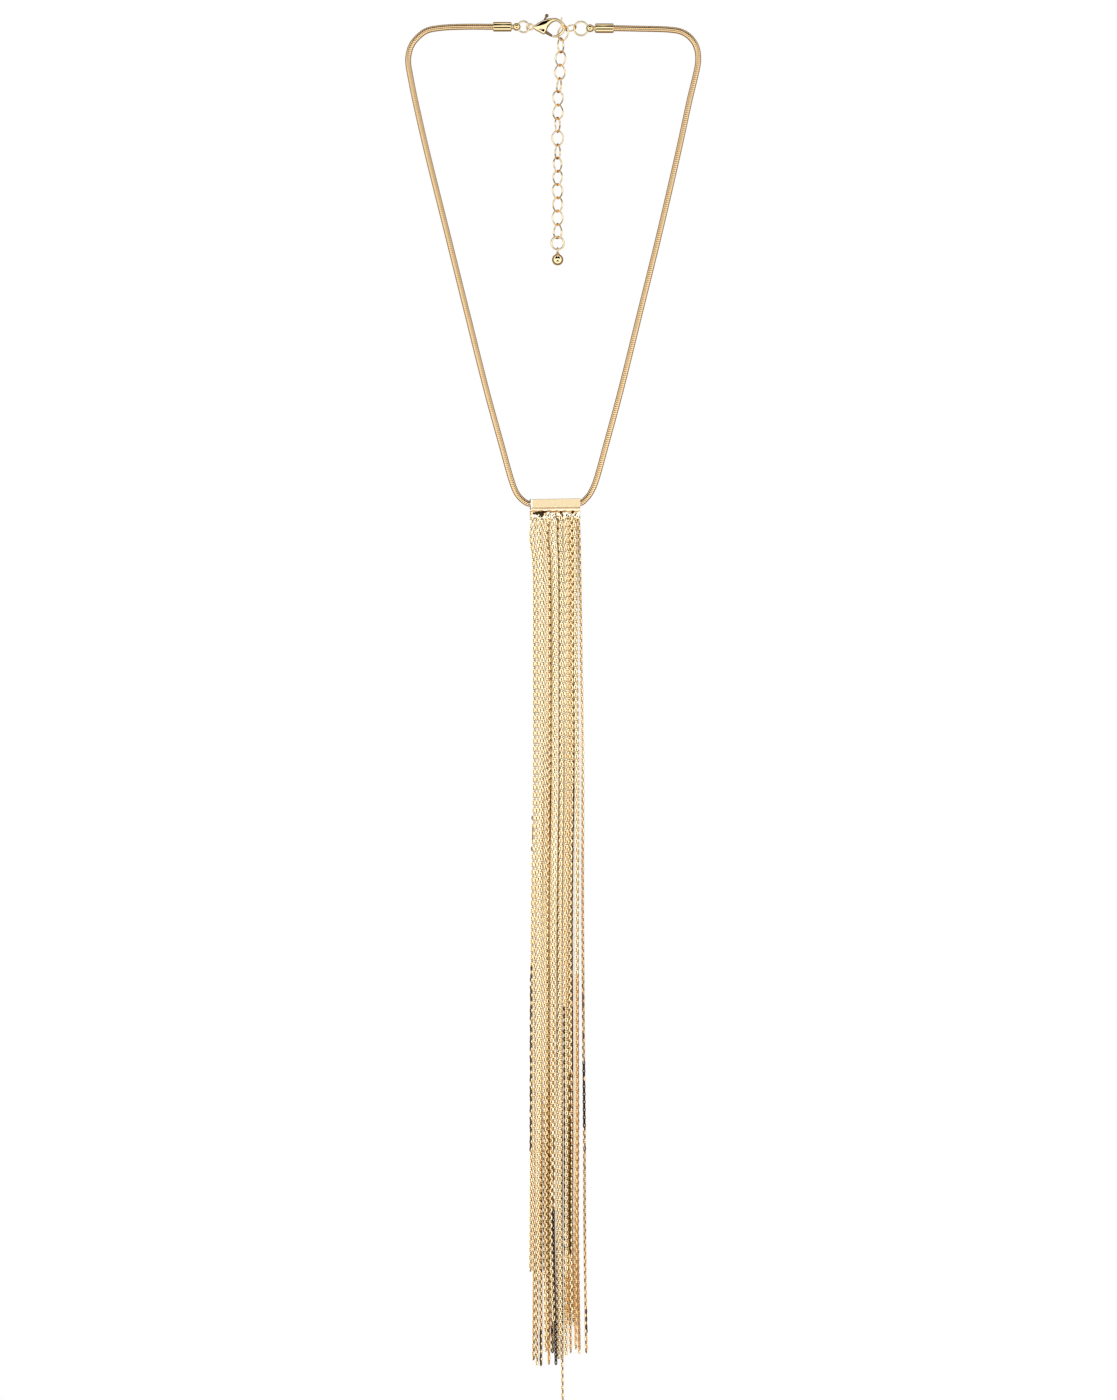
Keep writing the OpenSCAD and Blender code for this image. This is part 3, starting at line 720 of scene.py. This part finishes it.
# The two jump rings in the balls. Columns: place, lean in degrees
ring_left = ((-11.05, 166.8, 1.56), (0, 5, 0))
ring_left_size = 4.5
ring_right = ((9.1, 166.2, 1.6), (0, 4, 0))
ring_right_size = 5.46
cap_start = -cap_length - ball_reach
neck_angle = degrees(asin(neck_radius / ball_radius))
bore_end = cap_start + bore_depth
cap_outline = [(bore_end, 0), (bore_end, cap_bore), (cap_start + bore_easing, cap_bore),
               (cap_start, cap_bore + bore_easing)]
cap_outline += arc((cap_start + mouth_easing, cap_radius - mouth_easing), mouth_easing, 180, 90, parts=4)
cap_outline += arc((-ball_reach - shoulder_easing, cap_radius - shoulder_easing), shoulder_easing, 90, 0,
                   parts=5)
cap_outline += arc((-ball_reach + neck_easing, neck_radius + neck_easing), neck_easing, 180, 270, parts=4)
cap_outline += arc((0, 0), ball_radius, 180 - neck_angle, 0, parts=18)
cap_gold = gold("cap_gold", (0.66, 0.545, 0.32), roughness=0.03, haze=0.05, dents=0.05)
polished_gold = gold("polished_gold", (0.75, 0.62, 0.385), roughness=0.03, haze=0.05, dents=0.05)
for name, ball, turn, size, (place, lean) in (
        ("left", (-13.45, 166.8, cap_z), 0, ring_left_size, ring_left),
        ("right", (12.25, 166.3, cap_z), 180, ring_right_size, ring_right)):
    drill = wire_loop(size + drill_room, ring_wire + 2 * drill_room, turns=48, sides=16)
    cap = carved(leaned(turned(cap_outline), ball, (0, 0, turn)), leaned(drill, place, lean))
    make_piece(f"cap_{name}", cap, cap_gold, f"end_cap_{name}")

# Jump rings
# Round brass wire bent to rings: one in each cap's ball, a small one that joins the
# right ring to the extender, and a heavier one at the extender's end.
for name, size, wire, (place, lean) in (
        ("jump_ring_left", ring_left_size, ring_wire, ring_left),
        ("jump_ring_right", ring_right_size, ring_wire, ring_right),
        ("connector_ring", 4.1, 0.5, ((5.55, 166.2, 2.35), (68, 0, 18))),
        ("extender_ring", 5.1, 0.64, ((0.9, 91.05, 2.03), (0, 12, 0)))):
    ring = leaned(wire_loop(size, wire, turns=48, sides=12), place, lean)
    make_piece(f"{name}_wire", ring, polished_gold, name)

# Extender
# Sixteen links of thin round wire, bent to egg shapes and hung in each other. The first
# one is held in the clasp's hook.
link_width = 4.45
link_length = 5.7
link_wire = 0.54
link_pitch = 4.64
link_point = 0.1
end_shade = 0.5
end_start = 0.72
end_slope = 6
row_start = 155.6
row_z = 2.03
# The first two links. Columns: place, lean, egg shape, point
hooked_links = (((2.76, 164.55, 1.8), (14, -25, -16), 0, 0), ((2, 160.24, 1.97), (-3, 60, -2), 0, 0))
# Columns: place across the necklace, turn about the link's long axis, egg shape
row_links = ((1.9, -27, 0.08), (1.75, 26, -0.1), (1.4, -68, -0.2), (1.05, 29, 0.2), (1, -30, -0.2),
             (0.9, 66, 0.2), (0.9, 5, 0), (0.9, -64, -0.2), (0.9, 46, 0.2), (0.9, -39, 0.2), (0.9, 30, 0.15),
             (0.9, -34, 0.04), (0.9, 20, 0), (0.9, -46, -0.25))
link_poses = list(hooked_links)
for i, (across_at, roll, egg) in enumerate(row_links):
    before, after = row_links[max(i - 1, 0)][0], row_links[min(i + 1, len(row_links) - 1)][0]
    turn = degrees(atan2(after - before, 2 * link_pitch))
    link_poses.append(((across_at, row_start - link_pitch * i, row_z), (0, roll, turn), egg, link_point))
for i, (place, lean, egg, point) in enumerate(link_poses):
    link = wire_loop(link_width, link_wire, turns=36, sides=10, stretch=link_length - link_width,
                     egg=egg, point=point)
    # Painted shade at each link's ends, where it touches its neighbours
    touch_shade = link.verts.layers.float.new("shade")
    for vertex in link.verts:
        past_start = max(0, 2 * abs(vertex.co.y) / link_length - end_start)
        vertex[touch_shade] = end_shade * min(1, past_start * end_slope)
    make_piece(f"oval_link_{i + 1:02d}", leaned(link, place, lean), polished_gold,
               f"extender_link_{i + 1:02d}")

# Ball drop
# A polished ball soldered to a short neck and a small wire loop, which hangs in the
# extender's last ring.
drop_place = (0.9, 85.25, 1.99)
drop_radius = 1.975
drop_loop_place = (0.9, 88.65, 2)
drop_loop_size = 2
drop_loop_wire = 0.5
# The ball's outline ends at this angle, and the neck's goes on. Columns: along, radius
neck_meets_ball = 23
drop_neck = [(1.95, 0.7), (2.2, 0.52), (2.6, 0.45), (2.75, 0.3), (2.8, 0)]
drop = turned(arc((0, 0), drop_radius, 180, neck_meets_ball, parts=24) + drop_neck)
leaned(drop, drop_place, (0, 0, 90))
drop_loop = leaned(wire_loop(drop_loop_size, drop_loop_wire, turns=36, sides=12), drop_loop_place, (0, 90, 0))
make_piece("ball_and_loop", joined(drop, drop_loop), polished_gold, "ball_drop")

# Clasp body
# A cast and polished lobster clasp: an eye, a full body with a slot for the lever, and a
# hook that thins out to its tip. The lever's pin is riveted through both cheeks.
clasp_place = (-7.35, 166.8, 1.4)
# Columns: the outer edge's two coordinates, the inner edge's two, half thickness
clasp_sections = (
    (-0.2, 0.3, -0.2, -0.45, 0.35), (0.2, 0.6, 0.15, -0.85, 0.7), (1.3, 1.37, 0.95, -1.4, 1.05),
    (2.45, 2.1, 2.1, -2, 1.3), (3.6, 2.63, 3.3, -2.65, 1.35), (4.3, 2.8, 4.15, -1.9, 1.3),
    (4.87, 2.9, 4.7, -0.4, 1.2), (5.6, 3.05, 5.3, 0.5, 1.1), (6.4, 3.15, 6, 1.25, 1),
    (7.2, 3.15, 6.9, 1.8, 0.85), (8.2, 2.98, 7.9, 1.95, 0.72), (9.2, 2.4, 8.7, 1.5, 0.6),
    (10.1, 1.65, 9.35, 0.85, 0.48), (10.8, 0.85, 9.8, 0.25, 0.38), (11.1, -0.1, 10.05, -0.3, 0.36),
    (10.9, -1.1, 9.85, -0.85, 0.36), (10.5, -1.75, 9.45, -1.5, 0.36),
    (9.8, -2.6, 8.85, -2.15, 0.35), (8.85, -3.3, 8.1, -2.65, 0.34), (7.8, -3.66, 7.4, -2.85, 0.34),
    (6.3, -3.7, 6.76, -2.9, 0.34))
rings_per_section = 5
hook_sides = 28
eye_place = (-1.4, 0, 0)
eye_size = 2.86
eye_wire = 0.56
eye_tilt = 40
nib_place = (9.55, 2, 0)
nib_length = 1.4
nib_radius = 0.25
nib_turn = 83
# The lever, in the clasp's own axes. It opens by gate_travel degrees about the pivot.
pivot = (2.66, -0.95)
gate_tip = (6.04, -3.01)
slot_tip = (5.75, -2.84)
lever_bend = (3.72, 2.65)
knob = (4.45, 3.92)
hub_size = 1.7
pin_radius = 0.33
bore_radius = 0.38
knob_radius = 0.625
gate_travel = 22
gate_thickness = 0.9
# The slots that the lever swings in: room on each side of it, and the widths of their ends
slot_room = 0.1
slot_spare = 0.02
gate_slot = 0.95
lever_slot = 0.9
knob_slot = 0.7
disc_sides = 28


def between(table, t):
    """A row at a fractional place in a table, on a smooth curve through its rows."""
    i = min(int(t), len(table) - 2)
    rows = [np.array(table[min(max(k, 0), len(table) - 1)], float) for k in (i - 1, i, i + 1, i + 2)]
    f = t - i
    return 0.5 * (2 * rows[1] + (rows[2] - rows[0]) * f
                  + (2 * rows[0] - 5 * rows[1] + 4 * rows[2] - rows[3]) * f**2
                  + (3 * rows[1] - rows[0] - 3 * rows[2] + rows[3]) * f**3)


def clasp_ring(section):
    """One ring round the clasp's body or hook, as a place for an angle."""
    outer, inner, thickness = Vector(section[:2]), Vector(section[2:4]), section[4]
    middle, arm = (outer + inner) / 2, (outer - inner) / 2
    return lambda angle: Vector((*(middle + arm * cos(angle)), thickness * sin(angle)))


def turned_about_pivot(point, angle):
    """A point of the lever when it is opened by an angle in degrees."""
    u, v = point[0] - pivot[0], point[1] - pivot[1]
    c, s = cos(radians(angle)), sin(radians(angle))
    return (pivot[0] + u * c - v * s, pivot[1] + u * s + v * c)


def flat_bar(discs, thickness, bevel=0.0):
    """A flat bar stretched round discs of (place, diameter), with eased edges."""
    bar = bmesh.new()
    for (u, v), size in discs:
        for z in (-thickness / 2, thickness / 2):
            bmesh.ops.create_circle(bar, segments=disc_sides, radius=size / 2,
                                    matrix=Matrix.Translation((u, v, z)))
    hull = bmesh.ops.convex_hull(bar, input=bar.verts)
    bmesh.ops.delete(bar, geom=[part for part in hull["geom_interior"] if part.is_valid], context="VERTS")
    bmesh.ops.dissolve_limit(bar, angle_limit=0.02, verts=bar.verts[:], edges=bar.edges[:])
    if bevel:
        rims = [edge for edge in bar.edges if edge.is_manifold and edge.calc_face_angle(0) > 1]
        bmesh.ops.bevel(bar, geom=rims, offset=bevel, segments=3, profile=0.5, affect="EDGES", material=-1)
    bmesh.ops.recalc_face_normals(bar, faces=bar.faces)
    return bar


last = len(clasp_sections) - 1
marks = np.linspace(0, last, rings_per_section * last + 1)
hook = draw_out(hook_sides, [clasp_ring(between(clasp_sections, t)) for t in marks])
room = 2 * slot_room + slot_spare
slot_height = gate_thickness + 2 * slot_room
openings = [0, gate_travel / 2, gate_travel]
hub = (pivot, hub_size + room)
gate_swing = [(turned_about_pivot(slot_tip, a), gate_slot + room) for a in openings]
lever_swing = [(turned_about_pivot(lever_bend, a), lever_slot + room) for a in openings]
knob_swing = [(turned_about_pivot(place, a), knob_slot + room)
              for place in (lever_bend, knob) for a in openings]
slots = [flat_bar(discs, slot_height) for discs in ([hub] + gate_swing, [hub] + lever_swing, knob_swing)]
hook = carved(hook, *slots)
# Half of the pin's outline. Columns: along, radius
pin_half = [(1.13, pin_radius), (1.2, 0.26), (1.2, 0)]
pin = turned([(-along_at, radius) for along_at, radius in reversed(pin_half)] + pin_half, steps=24)
leaned(pin, (*pivot, 0), (0, 90, 0))
eye = leaned(wire_loop(eye_size, eye_wire, turns=40, sides=12), eye_place, (eye_tilt, 0, 0))
nib_end = arc((nib_length - nib_radius, 0), nib_radius, 90, 0, parts=5)
nib = leaned(turned([(0, 0), (0, nib_radius)] + nib_end, steps=16), nib_place, (0, 0, nib_turn))
clasp = leaned(joined(hook, pin, eye, nib), clasp_place, (0, 0, 0))
make_piece("lobster_clasp", clasp, polished_gold, "clasp_body")

# Clasp gate
# One brass pressing on the pin: the gate that closes the hook, and the bent lever with
# its thumb knob. Its colour is painted dark, for the shade it lies in under the body's cheeks.
gate_shaded_gold = gold("gate_shaded_gold", (0.13, 0.085, 0.045), roughness=0.16, haze=0.1, dents=0.12)
# Columns: discs that the bar is stretched round, thinner than the gate by, eased edge
lever_bars = (([(pivot, hub_size)], 0, 0.08), ([(pivot, 1.3), (gate_tip, 0.8)], 0.02, 0.14),
              ([(pivot, 1.0), (lever_bend, 0.6)], 0.04, 0.12), ([(lever_bend, 0.6), (knob, 0.6)], 0.06, 0.12))
bars = []
for discs, thinner, bevel in lever_bars:
    bore = turned([(-1, 0), (-1, bore_radius), (1, bore_radius), (1, 0)], steps=28)
    bar = flat_bar(discs, gate_thickness - thinner, bevel)
    bars.append(carved(bar, leaned(bore, (*pivot, 0), (0, 90, 0))))
thumb = bmesh.new()
bmesh.ops.create_uvsphere(thumb, u_segments=24, v_segments=14, radius=knob_radius,
                          matrix=Matrix.Translation((*knob, 0)))
gate = leaned(joined(*bars, thumb), clasp_place, (0, 0, 0))
make_piece("gate_and_lever", gate, gate_shaded_gold, "clasp_gate", "gate")
